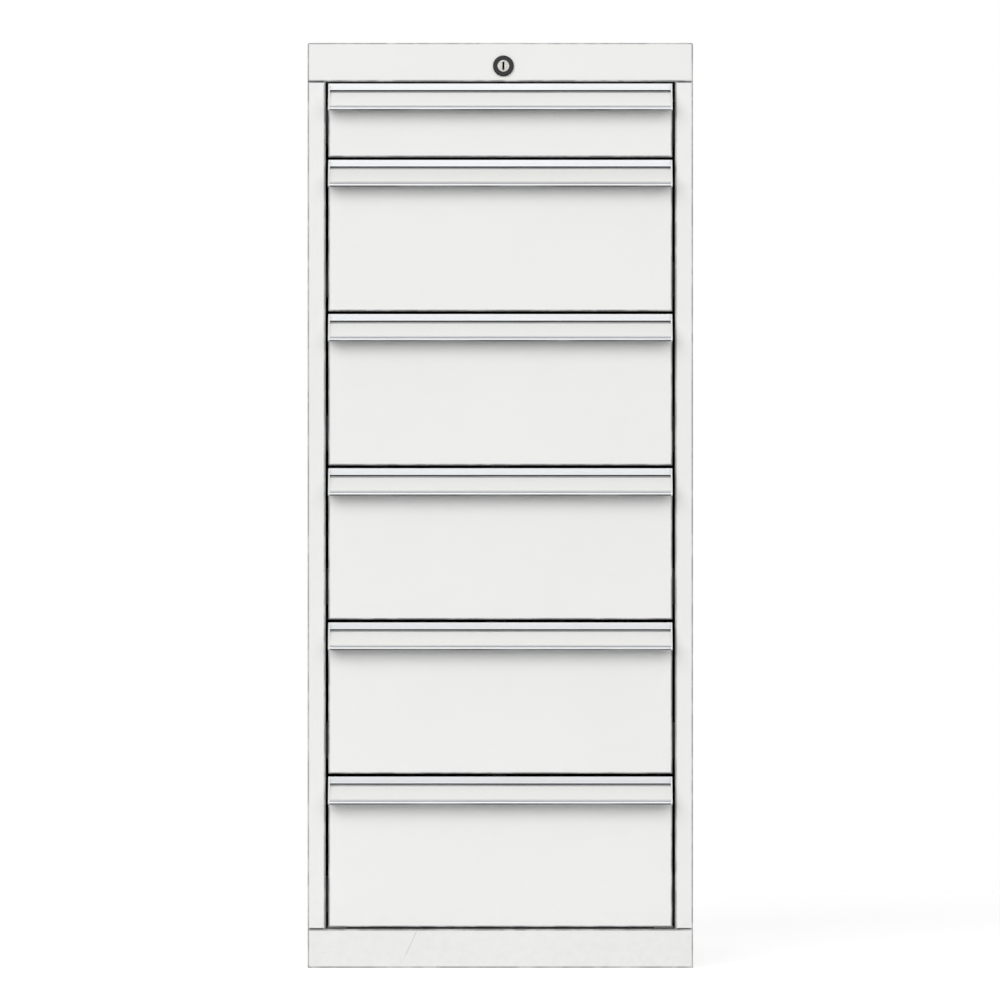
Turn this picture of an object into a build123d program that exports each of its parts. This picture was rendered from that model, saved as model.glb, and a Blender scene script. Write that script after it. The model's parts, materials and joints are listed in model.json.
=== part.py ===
from build123d import *

import math
import os

# Tall workshop drawer cabinet in folded sheet steel. One shallow and five deep drawers run on
# three-part telescopic slides between two front posts, under a top band that carries a central lock.
# +X is to the right of someone facing the drawers, +Y points to the back and +Z up. The origin is on
# the floor, in the middle of the cabinet's outline with its handles.

# Cabinet
cabinet_width = 500.0
cabinet_depth = 600.0
base_height = 50.0
top_height = 50.0
shallow_module = 100.0
deep_module = 200.0
deep_drawers = 5

# Carcass sheet and folds
carcass_sheet = 1.5
carcass_fold = 1.0
reveal = 1.5
post_width = 23.0
post_depth = 50.0
post_return = 12.0
rear_flange = 20.0
upright_depth = 45.0
foot_flange = 50.0
ledge_flange = 26.0
fascia_return = 25.0
fit_gap = 0.5

# Fixing holes
anchor_hole = 11.0
anchor_inset = 36.0
access_hole = 28.0
wall_hole = 8.5
wall_hole_spacing = 300.0
wall_hole_drop = 60.0

# Drawer fronts and trays
front_gap = 4.0
end_gap = 3.0
front_depth = 18.0
front_return = 26.0
front_sheet = 1.0
front_fold = 1.0
tray_sheet = 1.0
tray_fold = 2.0
tray_foot = 8.0
tray_drop = 22.0
rim_notch = 6.0
side_rim = 8.0
side_lip = 5.0
rear_rim = 14.0
rear_lip = 10.0
rear_space = 40.0

# Telescopic slides
slide_space = 15.0
slide_height = 46.0
slide_sheet = 1.5
slide_flange = 12.5
slide_lip = 5.0
slide_clearance = 0.4
slide_level = 44.0
slide_setback = 3.0
middle_rail_stop = 10.0
cabinet_rail_stop = 20.0
hook_slot_height = 12.0
hook_slot_width = 6.0
hook_slot_clearance = 0.3

# Handle strip, its label and its end caps
handle_reach = 22.0
handle_height = 35.5
handle_flange = 8.5
handle_wall = 1.8
handle_hook = 8.0
handle_leg = 28.0
brow_reach = 6.5
brow_wall = 1.6
brow_to_slope = 2.5
nose_radius = 2.2
label_lip = 1.4
label_lip_wall = 0.8
label_thickness = 0.8
label_clearance = 0.2
cap_thickness = 2.0

# Lock cylinder
lock_offset = 4.0
lock_rise = 20.0
bezel_diameter = 27.0
bezel_proud = 3.5
bezel_chamfer = 1.2
barrel_diameter = 19.0
barrel_length = 28.0
barrel_clearance = 0.25
plug_diameter = 15.0
plug_recess = 0.5
plug_tail = 3.0
key_slot_width = 2.6
key_slot_height = 11.0
key_slot_depth = 14.0
nut_flats = 24.0
nut_height = 5.0
running_clearance = 0.05

# Lock drive and locking bar
rod_diameter = 8.0
crank_radius = 14.0
crank_hub = 8.0
crank_eye = 6.0
crank_thickness = 4.0
crank_gap = 0.5
crank_bow_share = 0.03
pin_diameter = 6.0
pin_tail = 1.5
lock_turn = 90.0
bracket_sheet = 2.0
bracket_width = 40.0
bracket_flange = 24.0
bracket_setback = 6.0
bar_width = 30.0
bar_sheet = 2.0
bar_standoff = 6.0
bar_end = 14.0
bar_clearance = 0.3
hook_width = 14.0
hook_gap = 2.0
finger_gap = 1.0
guide_wall = 4.0
guide_height = 18.0
guide_shares = (0.1, 0.5, 0.9)

# Places that follow from the sizes above
modules = [shallow_module] + [deep_module] * deep_drawers
opening_height = sum(modules)
opening_top = base_height + opening_height
cabinet_height = opening_top + top_height
half_width = cabinet_width / 2
half_opening = half_width - post_width
front_y = handle_reach - (cabinet_depth + handle_reach) / 2
rear_y = front_y + cabinet_depth
middle_y = (front_y + rear_y) / 2
back_panel_y = rear_y - 2 * carcass_sheet
half_front = half_opening - front_gap
tray_front_y = front_y + front_depth
tray_back_y = back_panel_y - rear_space
half_tray = half_opening - slide_space
slide_front_y = tray_front_y + slide_setback
carcass_bend = carcass_sheet + carcass_fold
front_bend = front_sheet + front_fold
tray_bend = tray_sheet + tray_fold
overrun = cabinet_depth

rail_end_y = back_panel_y - cabinet_rail_stop
front_hook_y = (slide_front_y + front_y + post_depth) / 2
rear_hook_y = (back_panel_y - upright_depth + rail_end_y) / 2
slide_step = slide_sheet + slide_clearance
middle_web_x = half_opening - slide_step
middle_flange = slide_flange - 2 * slide_step
middle_half = slide_height / 2 - slide_step
drawer_rail_half = middle_half - slide_lip - slide_clearance
drawer_rail_tip_half = middle_half - slide_step
drawer_rail_tip_x = middle_web_x - slide_step

nose_out = handle_reach - nose_radius
nose_down = handle_height - nose_radius
slope_top = handle_flange + brow_to_slope
slope_out = nose_out - handle_wall / 2
slope_down = nose_down - slope_top
slope_length = math.hypot(slope_out, slope_down)
slope_angle = math.degrees(math.atan2(-slope_down, slope_out))
label_rise = handle_wall / 2 + label_thickness + label_clearance + label_lip_wall
label_start = handle_wall
label_end = slope_length - nose_radius

lock_z = opening_top + lock_rise
bar_y = back_panel_y - bar_standoff - bar_sheet
crank_back_y = bar_y - crank_gap
crank_front_y = crank_back_y - crank_thickness
bracket_y = crank_front_y - bracket_setback
plug_back_y = front_y + carcass_sheet + barrel_length + plug_tail
half_turn = math.radians(lock_turn / 2)
crank_run = crank_radius * math.cos(half_turn)
crank_rise = crank_radius * math.sin(half_turn)
bar_lift = 2 * crank_rise
pin_rest = (lock_offset - crank_run, lock_z - crank_rise)
bar_x = lock_offset - (crank_radius + crank_run) / 2


def block(x, y, z):
    """A box over three (low, high) spans."""
    spans = (x, y, z)
    centre = [(low + high) / 2 for low, high in spans]
    size = [high - low for low, high in spans]
    return Pos(*centre) * Box(*size)


def along_y(sketch, low, high):
    """A sketch drawn in x and z, carried along Y."""
    return extrude(Plane((0, high, 0), (1, 0, 0), (0, -1, 0)) * sketch, high - low)


def across_x(sketch, low, high):
    """A sketch drawn in y and z, carried along X."""
    return extrude(Plane((low, 0, 0), (0, 1, 0), (1, 0, 0)) * sketch, high - low)


def rod_y(x, z, diameter, low, high):
    """A round bar along Y."""
    return along_y(Pos(x, z) * Circle(diameter / 2), low, high)


def folded(points, sheet, bend=0):
    """The section of a sheet folded along a line, with its thickness to the left of that line."""
    line = FilletPolyline(*points, radius=bend)
    return make_face(offset(line, amount=sheet, kind=Kind.INTERSECTION, side=Side.LEFT))


def both_sides(right):
    """A right-hand piece and its mirror image, as one group."""
    return Compound([*right.solids(), *mirror(right, Plane.YZ).solids()])


def drawer_spans():
    """The lower and upper edge of each drawer's share of the opening, from the top drawer down."""
    top = opening_top
    for module in modules:
        yield top - module, top
        top -= module


def slide_middle(low):
    return low + slide_level


# Carcass


def hook_slots(y, depth):
    """Cutters for the slots that the cabinet rails hook into, one at each slide's level."""
    x = (half_opening - overrun, half_opening + depth)
    slots = []
    for low, _ in drawer_spans():
        z = slide_middle(low)
        slots.append(block(x, (y - hook_slot_width / 2, y + hook_slot_width / 2),
                           (z - hook_slot_height / 2, z + hook_slot_height / 2)))
    return slots


def edge_reveal():
    """Cutters for the fine grooves that part the outer faces of the walls from the base and the top band."""
    outside = block((-overrun, overrun), (-overrun, overrun), (base_height, base_height + reveal))
    inside = half_width - carcass_sheet
    outside -= block((-inside, inside), (front_y + carcass_sheet, rear_y - carcass_sheet),
                     (0, cabinet_height))
    return [outside, Pos(0, 0, opening_height - reveal) * outside]


def side_panel():
    """Right-hand wall: one sheet folded into a flange at the back and a closed post at the front."""
    post_x = half_width - post_width
    outline = [
        (post_x + post_return, front_y + post_depth),
        (post_x, front_y + post_depth),
        (post_x, front_y),
        (half_width, front_y),
        (half_width, rear_y),
        (half_width - rear_flange, rear_y),
    ]
    section = folded(outline, carcass_sheet, carcass_bend)
    wall = extrude(Pos(0, 0, base_height) * section, opening_height)
    return wall - hook_slots(front_hook_y, 2 * carcass_sheet) - edge_reveal()


def rear_upright():
    """Right-hand channel behind the drawers that holds the back ends of the cabinet rails."""
    wall_x = half_width - carcass_sheet
    outline = [
        (wall_x, back_panel_y),
        (half_opening, back_panel_y),
        (half_opening, back_panel_y - upright_depth),
        (wall_x, back_panel_y - upright_depth),
    ]
    section = folded(outline, carcass_sheet)
    channel = extrude(Pos(0, 0, base_height) * section, opening_height)
    return channel - hook_slots(rear_hook_y, 2 * carcass_sheet)


def back_panel():
    """Flat rear sheet, inside the side flanges and up behind the top band, with two wall-fixing holes."""
    half = half_width - carcass_bend - fit_gap
    panel = block((-half, half), (back_panel_y, back_panel_y + carcass_sheet),
                  (base_height, opening_top + top_height / 2))
    hole_z = opening_top - wall_hole_drop
    for side in (-1, 1):
        panel -= rod_y(side * wall_hole_spacing / 2, hole_z, wall_hole, back_panel_y - overrun, rear_y)
    return panel


def top_cover():
    """Cap with a band folded down all round, a return under its front band and the lock's hole."""
    cap = block((-half_width, half_width), (front_y, rear_y), (opening_top, cabinet_height))
    cap = fillet(cap.edges().filter_by(Axis.Z) + cap.edges().group_by(Axis.Z)[-1], carcass_bend)
    half_inside = half_width - carcass_sheet
    cap -= block((-half_inside, half_inside), (front_y + carcass_sheet, rear_y - carcass_sheet),
                 (0, cabinet_height - carcass_sheet))
    half_return = half_width - carcass_bend
    cap += block((-half_return, half_return), (front_y, front_y + fascia_return),
                 (opening_top, opening_top + carcass_sheet))
    hole = barrel_diameter + 2 * barrel_clearance
    return cap - rod_y(lock_offset, lock_z, hole, front_y - overrun, front_y + carcass_bend)


def base_frame():
    """Plinth ring of C section: a foot flange on the floor, a ledge under the carcass, four anchor holes."""
    ring = block((-half_width, half_width), (front_y, rear_y), (0, base_height))
    ring = fillet(ring.edges().filter_by(Axis.Z), carcass_bend)
    for inset, z in (
        (carcass_sheet, (carcass_sheet, base_height - carcass_sheet)),
        (foot_flange, (-overrun, carcass_sheet)),
        (ledge_flange, (base_height - carcass_sheet, overrun)),
    ):
        ring -= block((inset - half_width, half_width - inset), (front_y + inset, rear_y - inset), z)
    for x, y in anchor_places():
        ring -= Pos(x, y) * Cylinder(anchor_hole / 2, 2 * carcass_bend)
    return ring


def anchor_places():
    return [(side * (half_width - anchor_inset), middle_y + end * (cabinet_depth / 2 - anchor_inset))
            for side in (-1, 1) for end in (-1, 1)]


def floor_panel():
    """Sheet that closes the bottom of the opening, notched at its corners above the floor anchors."""
    half = half_opening - fit_gap
    panel = block((-half, half), (tray_front_y + fit_gap, back_panel_y),
                  (base_height, base_height + carcass_sheet))
    inner_x = half_width - anchor_inset - access_hole / 2
    inner_y = cabinet_depth / 2 - anchor_inset - access_hole / 2
    z = (0, cabinet_height)
    for side in (-1, 1):
        x = sorted((side * inner_x, side * overrun))
        panel -= block(x, (-overrun, middle_y - inner_y), z)
        panel -= block(x, (middle_y + inner_y, overrun), z)
    return panel


# Telescopic slides, drawn on the right-hand side around the slide's own middle


def lipped_channel(outer_x, flange, half):
    """A channel section with turned-in lips, its web at outer_x and open towards the drawer."""
    tip_x = outer_x - flange
    outline = [
        (tip_x, slide_lip - half),
        (tip_x, -half),
        (outer_x, -half),
        (outer_x, half),
        (tip_x, half),
        (tip_x, half - slide_lip),
    ]
    return folded(outline, slide_sheet)


def cabinet_rail(level):
    """Outer rail: hooked into the post and the rear upright, with a tab at each end."""
    section = lipped_channel(half_opening, slide_flange, slide_height / 2)
    rail = along_y(Pos(0, level) * section, slide_front_y, rail_end_y)
    half_tab = hook_slot_width / 2 - hook_slot_clearance
    half_rise = hook_slot_height / 2 - hook_slot_clearance
    for y in (front_hook_y, rear_hook_y):
        rail += block((half_opening - slide_sheet, half_opening + 2 * carcass_sheet),
                      (y - half_tab, y + half_tab), (level - half_rise, level + half_rise))
    return rail


def middle_rail(level):
    """Middle rail: runs inside the cabinet rail and carries the drawer rail."""
    section = lipped_channel(middle_web_x, middle_flange, middle_half)
    return along_y(Pos(0, level) * section, slide_front_y, tray_back_y + middle_rail_stop)


def drawer_rail(level):
    """Inner rail on the tray's side: its turned-out edges are held behind the middle rail's lips."""
    web_x = half_tray + slide_sheet
    flange_z = drawer_rail_half - slide_sheet
    outline = [
        (drawer_rail_tip_x, -drawer_rail_tip_half),
        (drawer_rail_tip_x, -flange_z),
        (web_x, -flange_z),
        (web_x, flange_z),
        (drawer_rail_tip_x, flange_z),
        (drawer_rail_tip_x, drawer_rail_tip_half),
    ]
    section = folded(outline, slide_sheet)
    return along_y(Pos(0, level) * section, slide_front_y, tray_back_y)


# Drawers


def drawer_front(low, high):
    """Folded pan that shows between the posts, with returns at its back that the tray is fixed to."""
    pan = block((-half_front, half_front), (front_y, tray_front_y), (low, high))
    pan = fillet(pan.edges().group_by(Axis.Y)[0], front_bend)
    for inset, y in (
        (front_sheet, (front_y + front_sheet, tray_front_y - front_sheet)),
        (front_return, (tray_front_y - front_sheet, tray_front_y)),
    ):
        pan -= block((inset - half_front, half_front - inset), y, (low + inset, high - inset))
    return pan


def drawer_tray(low, high):
    """Folded box with turned-out rims at its sides and a deeper one at its back, where the bar hooks in."""
    tray = block((-half_tray, half_tray), (tray_front_y, tray_back_y), (low, high))
    tray = fillet(tray.edges().group_by(Axis.Z)[0], tray_bend)
    tray = offset(tray, amount=-tray_sheet, openings=tray.faces().sort_by(Axis.Z)[-1])
    side_x = half_tray + side_rim
    side = folded([(side_x, high - side_lip), (side_x, high), (half_tray, high)], tray_sheet)
    side = along_y(side, tray_front_y + rim_notch, tray_back_y - rim_notch)
    back_y = tray_back_y + rear_rim
    back = folded([(back_y, high - rear_lip), (back_y, high), (tray_back_y, high)], tray_sheet)
    return tray + side + mirror(side, Plane.YZ) + across_x(back, rim_notch - half_tray, half_tray - rim_notch)


def handle_plane(x, top):
    """Plane of the handle's section at x: local x points out of the front and local y up from its top."""
    return Plane((x, front_y, top), (0, -1, 0), (-1, 0, 0))


def on_slope(sketch):
    """Moves a sketch drawn along the handle's sloping wall, from its upper end, into the handle's section."""
    return Pos(handle_wall / 2, -slope_top) * Rot(0, 0, slope_angle) * sketch


def strip(x, y):
    """A rectangle over two (low, high) spans."""
    return Pos((x[0] + x[1]) / 2, (y[0] + y[1]) / 2) * Rectangle(x[1] - x[0], y[1] - y[0])


def handle_outline():
    """What the handle and its end caps share: leg on the front's face, level brow and rounded nose."""
    leg = strip((0, handle_wall), (-handle_leg, 0))
    brow = strip((0, brow_reach), (-handle_flange, brow_wall - handle_flange))
    return leg + brow + Pos(nose_out, -nose_down) * Circle(nose_radius)


def handle_section():
    """The outline with a hook over the front's upper edge and a sloping label wall with two lips."""
    wall = (-handle_wall / 2, handle_wall / 2)
    section = handle_outline() + strip((-handle_hook, handle_wall), (-handle_wall, 0))
    section += on_slope(strip((0, slope_length), wall))
    lip_y = (label_rise - label_lip_wall, label_rise)
    for foot, tip in (
        ((label_start - label_lip_wall, label_start), label_start + label_lip),
        ((label_end, label_end + label_lip_wall), label_end - label_lip),
    ):
        section += on_slope(strip(foot, (0, label_rise)))
        section += on_slope(strip((min(*foot, tip), max(*foot, tip)), lip_y))
    return section


def handle_strip(top):
    half = half_front - cap_thickness
    return extrude(handle_plane(half, top) * handle_section(), 2 * half)


def label_strip(top):
    """Label card, slid in behind the lips of the handle's sloping wall."""
    half = half_front - cap_thickness
    face = strip((label_start + label_clearance, label_end - label_clearance),
                 (handle_wall / 2, handle_wall / 2 + label_thickness))
    return extrude(handle_plane(half, top) * on_slope(face), 2 * half)


def handle_caps(top):
    """Two plates with the handle's full outline, which close its ends."""
    outline = handle_outline() + on_slope(strip((0, label_end), (0, label_rise)))
    face = make_hull(outline.edges()) + strip((-handle_hook, handle_wall), (-handle_wall, 0))
    cap = extrude(handle_plane(half_front, top) * face, cap_thickness)
    return both_sides(cap)


# Lock


def lock_housing():
    """Turned piece: a chamfered bezel before the top band and a barrel through it, bored for the plug."""
    bore = plug_diameter / 2 + running_clearance
    rim = bezel_diameter / 2
    face = front_y - bezel_proud
    tail = front_y + carcass_sheet + barrel_length
    outline = Polyline(
        (bore, face),
        (rim - bezel_chamfer, face),
        (rim, face + bezel_chamfer),
        (rim, front_y),
        (barrel_diameter / 2, front_y),
        (barrel_diameter / 2, tail),
        (bore, tail),
        close=True,
    )
    return Pos(lock_offset, 0, lock_z) * revolve(make_face(outline), Axis.Y)


def lock_nut():
    """Hexagon nut on the barrel, against the inside of the top band."""
    seat = front_y + carcass_sheet
    face = Pos(lock_offset, lock_z) * RegularPolygon(nut_flats / 2, 6, major_radius=False)
    hole = barrel_diameter + 2 * running_clearance
    return along_y(face, seat, seat + nut_height) - rod_y(lock_offset, lock_z, hole, seat - overrun, overrun)


def lock_plug():
    """Turning core with an upright key slot in its face."""
    face_y = front_y - bezel_proud + plug_recess
    plug = rod_y(lock_offset, lock_z, plug_diameter, face_y, plug_back_y)
    slot = Pos(lock_offset, lock_z) * Rectangle(key_slot_width, key_slot_height)
    return plug - along_y(slot, face_y - overrun, face_y + key_slot_depth)


def lock_drive_rod():
    return rod_y(lock_offset, lock_z, rod_diameter, plug_back_y, crank_front_y)


def lock_crank():
    """Arm on the back end of the rod, with the pin that lifts the locking bar."""
    hub = Pos(lock_offset, lock_z) * Circle(crank_hub)
    eye = Pos(*pin_rest) * Circle(crank_eye)
    arm = along_y(make_hull(hub.edges() + eye.edges()), crank_front_y, crank_back_y)
    return arm + rod_y(*pin_rest, pin_diameter, crank_back_y, bar_y + bar_sheet + pin_tail)


def lock_rod_bracket():
    """Angle under the top plate that carries the back end of the rod."""
    top = cabinet_height - carcass_sheet
    foot = lock_z - rod_diameter - bracket_sheet
    section = folded([(bracket_y, foot), (bracket_y, top), (bracket_y - bracket_flange, top)], bracket_sheet)
    angle = across_x(section, lock_offset - bracket_width / 2, lock_offset + bracket_width / 2)
    hole = rod_diameter + 2 * running_clearance
    return angle - rod_y(lock_offset, lock_z, hole, bracket_y - overrun, bracket_y + overrun)


def hook_levels():
    """Each hook's tab height at rest, one lift below the place where it holds its drawer's rear rim."""
    for _, high in drawer_spans():
        yield high - tray_drop - rear_lip - hook_gap - bar_lift


bar_low = min(hook_levels()) - bar_sheet - bar_end
bar_high = pin_rest[1] + bar_end
finger_y = tray_back_y + (rear_rim - tray_sheet + bar_sheet) / 2


def lock_bar():
    """Upright bar at the back: a slot for the crank's pin and one upturned hook for each drawer."""
    half = bar_width / 2
    bar = block((bar_x - half, bar_x + half), (bar_y, bar_y + bar_sheet), (bar_low, bar_high))
    slot_half = (crank_radius - crank_run) / 2 + pin_diameter / 2 + bar_clearance
    slot_rise = pin_diameter / 2 + crank_bow_share * crank_radius + bar_clearance
    bar -= block((bar_x - slot_half, bar_x + slot_half), (bar_y - overrun, overrun),
                 (pin_rest[1] - slot_rise, pin_rest[1] + slot_rise))
    finger_rise = rear_lip + hook_gap - tray_sheet - finger_gap
    for tab in hook_levels():
        hook = folded([(bar_y, tab), (finger_y, tab), (finger_y, tab + finger_rise)], bar_sheet)
        bar += across_x(hook, bar_x - hook_width / 2, bar_x + hook_width / 2)
    return bar


def lock_bar_guides():
    """Blocks on the back panel that hold the bar by its edges and let its hooks pass in front."""
    half = bar_width / 2
    outer = half + guide_wall
    mouth = hook_width / 2 + hook_gap
    low_y = bar_y - bar_clearance
    all_z = (0, cabinet_height)
    guides = []
    for share in guide_shares:
        z = bar_low + share * (bar_high - bar_low)
        z_span = (z - guide_height / 2, z + guide_height / 2)
        guide = block((bar_x - outer, bar_x + outer), (low_y - guide_wall, back_panel_y), z_span)
        guide -= block((bar_x - half - bar_clearance, bar_x + half + bar_clearance),
                       (low_y, bar_y + bar_sheet + bar_clearance), all_z)
        guides.append(guide - block((bar_x - mouth, bar_x + mouth), (low_y - overrun, low_y), all_z))
    return Compound([solid for guide in guides for solid in guide.solids()])


def mirrored_group(pieces):
    """A left-hand group made of the mirror images of right-hand pieces."""
    return Compound([solid for piece in pieces for solid in mirror(piece, Plane.YZ).solids()])


def build():
    """Every node of the cabinet by name."""
    nodes = {
        "right_side_panel": side_panel(),
        "left_side_panel": mirror(side_panel(), Plane.YZ),
        "rear_uprights": both_sides(rear_upright()),
        "back_panel": back_panel(),
        "top_cover": top_cover(),
        "base_frame": base_frame(),
        "floor_panel": floor_panel(),
        "lock_housing": lock_housing(),
        "lock_nut": lock_nut(),
        "lock_plug": lock_plug(),
        "lock_drive_rod": lock_drive_rod(),
        "lock_crank": lock_crank(),
        "lock_rod_bracket": lock_rod_bracket(),
        "lock_bar": lock_bar(),
        "lock_bar_guides": lock_bar_guides(),
    }
    cabinet_rails = [cabinet_rail(slide_middle(low)) for low, _ in drawer_spans()]
    nodes["cabinet_rails_right"] = Compound([solid for rail in cabinet_rails for solid in rail.solids()])
    nodes["cabinet_rails_left"] = mirrored_group(cabinet_rails)
    for number, (low, high) in enumerate(drawer_spans(), start=1):
        name = f"drawer_{number}"
        bottom = max(low + front_gap / 2, base_height + end_gap)
        top = min(high - front_gap / 2, opening_top - end_gap)
        level = slide_middle(low)
        nodes[f"{name}_front"] = drawer_front(bottom, top - handle_wall)
        nodes[f"{name}_tray"] = drawer_tray(low + tray_foot, high - tray_drop)
        nodes[f"{name}_handle"] = handle_strip(top)
        nodes[f"{name}_label"] = label_strip(top)
        nodes[f"{name}_handle_caps"] = handle_caps(top)
        nodes[f"{name}_rails"] = both_sides(drawer_rail(level))
        nodes[f"{name}_middle_rails"] = both_sides(middle_rail(level))
    return nodes


def main():
    os.makedirs("parts", exist_ok=True)
    for name, shape in build().items():
        export_step(shape, f"parts/{name}.step")


main()
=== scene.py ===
import json
import math

import bpy
import numpy as np
from bpy.props import FloatProperty, FloatVectorProperty, IntProperty, PointerProperty
from bpy.types import Operator, Panel, PropertyGroup
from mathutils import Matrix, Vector

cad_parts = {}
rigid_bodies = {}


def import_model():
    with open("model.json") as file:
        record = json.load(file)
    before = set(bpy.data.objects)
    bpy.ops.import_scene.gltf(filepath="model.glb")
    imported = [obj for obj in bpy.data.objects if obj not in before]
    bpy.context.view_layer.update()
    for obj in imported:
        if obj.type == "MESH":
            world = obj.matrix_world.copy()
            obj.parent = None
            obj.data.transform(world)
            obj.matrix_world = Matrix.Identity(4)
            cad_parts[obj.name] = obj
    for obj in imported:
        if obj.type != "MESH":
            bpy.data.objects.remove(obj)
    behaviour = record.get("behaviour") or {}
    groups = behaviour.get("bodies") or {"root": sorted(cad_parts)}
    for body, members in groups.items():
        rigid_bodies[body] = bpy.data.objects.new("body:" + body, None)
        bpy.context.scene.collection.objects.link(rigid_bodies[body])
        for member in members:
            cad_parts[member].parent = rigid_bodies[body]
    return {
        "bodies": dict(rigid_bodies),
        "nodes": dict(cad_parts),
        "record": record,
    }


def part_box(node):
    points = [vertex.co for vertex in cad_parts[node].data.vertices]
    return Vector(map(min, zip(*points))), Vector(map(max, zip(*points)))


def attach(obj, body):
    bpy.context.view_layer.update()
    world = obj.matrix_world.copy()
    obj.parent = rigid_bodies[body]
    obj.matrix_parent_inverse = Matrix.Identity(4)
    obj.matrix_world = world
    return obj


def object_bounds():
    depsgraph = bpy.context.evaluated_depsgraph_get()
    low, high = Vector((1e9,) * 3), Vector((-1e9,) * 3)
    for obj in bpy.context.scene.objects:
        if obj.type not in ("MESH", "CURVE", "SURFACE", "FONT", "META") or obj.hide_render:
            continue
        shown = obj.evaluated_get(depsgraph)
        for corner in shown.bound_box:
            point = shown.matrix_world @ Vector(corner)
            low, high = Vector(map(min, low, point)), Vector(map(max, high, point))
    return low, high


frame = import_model()
CAD_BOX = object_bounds()

bl_info = {
    "name": "Drawer cabinet looks",
    "version": (1, 0, 0),
    "blender": (4, 5, 0),
    "location": "View3D > Sidebar > Cabinet",
    "description": "Finishes, rivets and studio for a tall workshop drawer cabinet",
    "category": "Object",
}

MILLIMETRE = 0.001
SLOT_COLOURS = {entry["slot"]: tuple(entry["base_color"]) for entry in frame["record"]["materials"]}
DRAWERS = sorted(name for name in frame["bodies"] if name.startswith("drawer_"))
BACK = (0.0, 1.0, 0.0)
RIGHT = (1.0, 0.0, 0.0)
COARSE_RELIEF = 0.4 * MILLIMETRE
FINE_RELIEF = 0.2 * MILLIMETRE
FAINT_RELIEF = 0.1 * MILLIMETRE
MID_GREY = (0.5, 0.5, 0.5)
SECOND_DRAW = 9.7
DRAW_EDGE = 0.01
SHARP_ANGLE = math.radians(40)
# Grain of the metals, as streaks to the metre along x, along y and along z
UPRIGHT_SHEET = (420.0, 420.0, 5.0)
LEVEL_SHEET = (420.0, 5.0, 420.0)
SLIDE_GRAIN = (700.0, 4.0, 700.0)
ROD_GRAIN = (900.0, 5.0, 900.0)
BAR_GRAIN = (500.0, 500.0, 5.0)
NUT_GRAIN = (300.0, 60.0, 300.0)
RIVET_GRAIN = (300.0, 300.0, 300.0)


# Settings


def colour_setting(title, text, default):
    """A colour that a user can change."""
    return FloatVectorProperty(name=title, description=text, default=default, subtype="COLOR", min=0, max=1)


def length_setting(title, text, default):
    """A length that a user can change, written in millimetres."""
    return FloatProperty(name=title, description=text, default=default * MILLIMETRE, unit="LENGTH", min=0)


def count_setting(title, text, default, least_count):
    """A number of things that a user can change."""
    return IntProperty(name=title, description=text, default=default, min=least_count)


def share_setting(title, text, default):
    """A share from 0 to 1 that a user can change."""
    return FloatProperty(name=title, description=text, default=default, subtype="FACTOR", min=0, max=1)


def place_setting(title, text, default):
    """A place in metres that a user can change."""
    return FloatVectorProperty(name=title, description=text, default=default, subtype="TRANSLATION",
                               unit="LENGTH")


def power_setting(title, text, default):
    """A lamp's power in watts that a user can change."""
    return FloatProperty(name=title, description=text, default=default, unit="POWER", min=0)


class CabinetColours(PropertyGroup):
    """Colours of the cabinet's finishes."""

    carcass: colour_setting("Carcass", "Powder coat of the walls, the back and the top",
                            SLOT_COLOURS["carcass_paint"])
    base: colour_setting("Plinth", "Powder coat of the plinth", SLOT_COLOURS["base_paint"])
    fronts: colour_setting("Fronts", "Powder coat of the drawer fronts", SLOT_COLOURS["front_paint"])
    trays: colour_setting("Trays", "Powder coat of the drawer trays", SLOT_COLOURS["tray_paint"])
    inner: colour_setting("Inner steel", "Galvanised sheet inside the carcass", SLOT_COLOURS["inner_steel"])
    slides: colour_setting("Slides", "Zinc plating of the telescopic slides", SLOT_COLOURS["slide_steel"])
    rivets: colour_setting("Rivets", "Plated steel of the blind rivets", (0.34, 0.34, 0.35))
    handles: colour_setting("Handles", "Anodised aluminium of the handle strips", (0.54, 0.55, 0.56))
    labels: colour_setting("Labels", "Blank label card", (0.84, 0.84, 0.82))
    caps: colour_setting("End caps", "Moulded end caps of the handles", SLOT_COLOURS["cap_plastic"])
    plug: colour_setting("Lock plug", "Nickel plating of the lock's plug", (0.44, 0.43, 0.41))
    bezel: colour_setting("Lock bezel", "Black plating of the lock's bezel", (0.012, 0.012, 0.013))
    drive: colour_setting("Lock drive", "Bright steel of the rod, crank and bar", SLOT_COLOURS["lock_steel"])
    nylon: colour_setting("Bar guides", "Moulded guides of the locking bar", SLOT_COLOURS["guide_nylon"])
    # Also darkens the weld dents as painted shade, and every edge partly as wear and partly as painted edge
    # shade.
    wear: colour_setting("Worn edge", "Primer that shows where an edge is rubbed", (0.13, 0.13, 0.14))
    # Painted shade: near-black laid in the groove under each handle's brow, along each handle's lower lip and
    # inside the key slot.
    painted_shade: colour_setting("Grime", "Old grease in grooves and slots", (0.012, 0.011, 0.010))
    soil: colour_setting("Floor dust", "Dust that settles on the plinth", (0.52, 0.50, 0.47))
    aged_card: colour_setting("Aged card", "Yellowed patches of the label card", (0.90, 0.87, 0.80))
    dull_zinc: colour_setting("Dull zinc", "Dull patches of the zinc plating", (0.62, 0.63, 0.60))
    # Near-black for the sheared front ends: partly the rough cut and partly painted shade for the gaps in
    # front of them.
    cut_edge_and_shade: colour_setting("Cut edge", "Sheared front end of a zinc-plated sheet", (0.03, 0.03, 0.032))
    oil: colour_setting("Oil", "Oil stains on bright steel", (0.20, 0.17, 0.14))
    key_scuff: colour_setting("Key scuff", "Scratches that the key leaves round its slot", (0.24, 0.23, 0.21))
    floor: colour_setting("Floor", "Studio floor", (0.68, 0.68, 0.68))


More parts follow.
